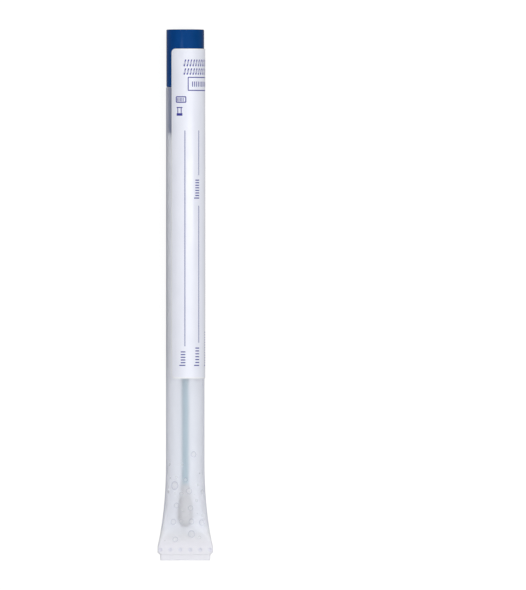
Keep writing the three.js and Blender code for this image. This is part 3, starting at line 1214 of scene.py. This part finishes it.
def make_floor():
    corners = ((-1, -1), (1, -1), (1, 1), (-1, 1))
    points = [(x * FLOOR_REACH, y * FLOOR_REACH, FLOOR_Z) for x, y in corners]
    mesh = bpy.data.meshes.new("floor")
    mesh.from_pydata(points, [], [(0, 1, 2, 3)])
    g = Graph("floor_paper")
    grain = g.noise(0.05, (1, 1, 1), 3)
    paper = g.blend(g.span(grain, 0, 1), rgba(0.22, 0.22, 0.22), rgba(0.23, 0.23, 0.23))
    matte = g.node("ShaderNodeBsdfDiffuse", {"Color": paper}).outputs[0]
    path = g.node("ShaderNodeLightPath")
    seen = g.math("MULTIPLY", path.outputs["Is Camera Ray"], FLOOR_GLOW)
    through = g.math("MULTIPLY", path.outputs["Is Transmission Ray"], FLOOR_GLOW_THROUGH)
    mirrored = g.math("MULTIPLY", path.outputs["Is Glossy Ray"], FLOOR_GLOW_MIRRORED)
    glow = g.math("MAXIMUM", g.math("MAXIMUM", seen, through), mirrored)
    glow = g.node("ShaderNodeEmission", {"Color": WHITE, "Strength": glow}).outputs[0]
    both = g.node("ShaderNodeAddShader")
    g.links.new(matte, both.inputs[0])
    g.links.new(glow, both.inputs[1])
    mesh.materials.append(g.finish(both.outputs[0]))
    floor = bpy.data.objects.new("floor", mesh)
    bpy.context.scene.collection.objects.link(floor)


def make_world():
    world = bpy.data.worlds.new("studio")
    bpy.context.scene.world = world
    world.use_nodes = True
    nodes, links = world.node_tree.nodes, world.node_tree.links
    nodes.clear()
    coords = nodes.new("ShaderNodeTexCoord")
    split = nodes.new("ShaderNodeSeparateXYZ")
    links.new(coords.outputs["Generated"], split.inputs[0])
    rise = nodes.new("ShaderNodeMapRange")
    for key, value in zip(("From Min", "From Max", "To Min", "To Max"), SKY_RISE + SKY_LIGHT):
        rise.inputs[key].default_value = value
    links.new(split.outputs["Z"], rise.inputs["Value"])
    path = nodes.new("ShaderNodeLightPath")
    strength = rise.outputs[0]
    for ray, level in (("Is Transmission Ray", WORLD_THROUGH), ("Is Camera Ray", 1.0)):
        mixed = nodes.new("ShaderNodeMix")
        mixed.data_type = "FLOAT"
        links.new(path.outputs[ray], mixed.inputs[0])
        links.new(strength, mixed.inputs[2])
        mixed.inputs[3].default_value = level
        strength = mixed.outputs[0]
    sky = nodes.new("ShaderNodeBackground")
    links.new(strength, sky.inputs["Strength"])
    out = nodes.new("ShaderNodeOutputWorld")
    links.new(sky.outputs[0], out.inputs["Surface"])


def add_lamp(name, place, aim, size, strength, colour=(1, 1, 1)):
    """A soft rectangle of light. strength is its radiance, 1 for a white wall in full light."""
    data = bpy.data.lights.new(name, "AREA")
    data.shape = "RECTANGLE"
    data.size, data.size_y = size
    data.color = colour
    data.energy = strength * size[0] * size[1] * math.pi
    lamp = bpy.data.objects.new(name, data)
    bpy.context.scene.collection.objects.link(lamp)
    lamp.location = place
    lamp.rotation_euler = (Vector(aim) - Vector(place)).to_track_quat("-Z", "X").to_euler()
    lamp.visible_camera = False
    return lamp


def make_lamps(cap):
    # overhead box, which gives most of the light
    add_lamp("overhead", (0.22, -0.15, 0.60), (0, -0.15, 0), (0.75, 1.3), 0.80)
    # small bright key, from the cap's side and the left
    add_lamp("key", (-0.30, 0.40, 0.60), (0, 0, 0), (0.085, 0.07), 18.0)
    # box that leaves the long highlight on the label
    add_lamp("label_box", (0.21, 0.034, 0.40), (0, 0.034, 0), (0.30, 0.03), 4.8)
    # narrow strip for the highlight on the cap, which it alone lights
    strip = add_lamp(
        "cap_strip", (-0.153, 0.08, 0.42), (0, 0.08, 0), (0.07, 0.02), 150.0, (0.5, 0.65, 1.0)
    )
    lit = bpy.data.collections.new("lit_by_cap_strip")
    lit.objects.link(cap)
    strip.light_linking.receiver_collection = lit


def make_camera():
    """Looks straight down from far above the tube, with the cap at the top."""
    data = bpy.data.cameras.new("camera")
    data.sensor_fit = "AUTO"
    data.sensor_width = SENSOR_MM
    data.lens = SENSOR_MM * CAMERA_DISTANCE / VIEW_WIDTH
    data.clip_start, data.clip_end = 0.01, 50
    camera = bpy.data.objects.new("camera", data)
    bpy.context.scene.collection.objects.link(camera)
    camera.location = (CAMERA_X, 0.0, CAMERA_DISTANCE + AXIS_Z * MM)
    camera.rotation_euler = (0, 0, 0)
    bpy.context.scene.camera = camera


def main():
    fibre = fibre_material()
    make_tube(
        tube_material("frosted_skin", 0.45, 0.22, 2.7, 0.95),
        tube_material("smooth_bore", 0.15, 0.03, 0.10, 0.0),
    )
    cap = make_cap(cap_material())
    make_stem(stem_material())
    make_tip(fibre)
    make_hairs(fibre)
    make_label(label_material())
    make_print(ink_material())
    make_drops(moisture_material())
    make_floor()
    make_world()
    make_lamps(cap)
    make_camera()
    bpy.context.scene.view_settings.view_transform = "Standard"


main()
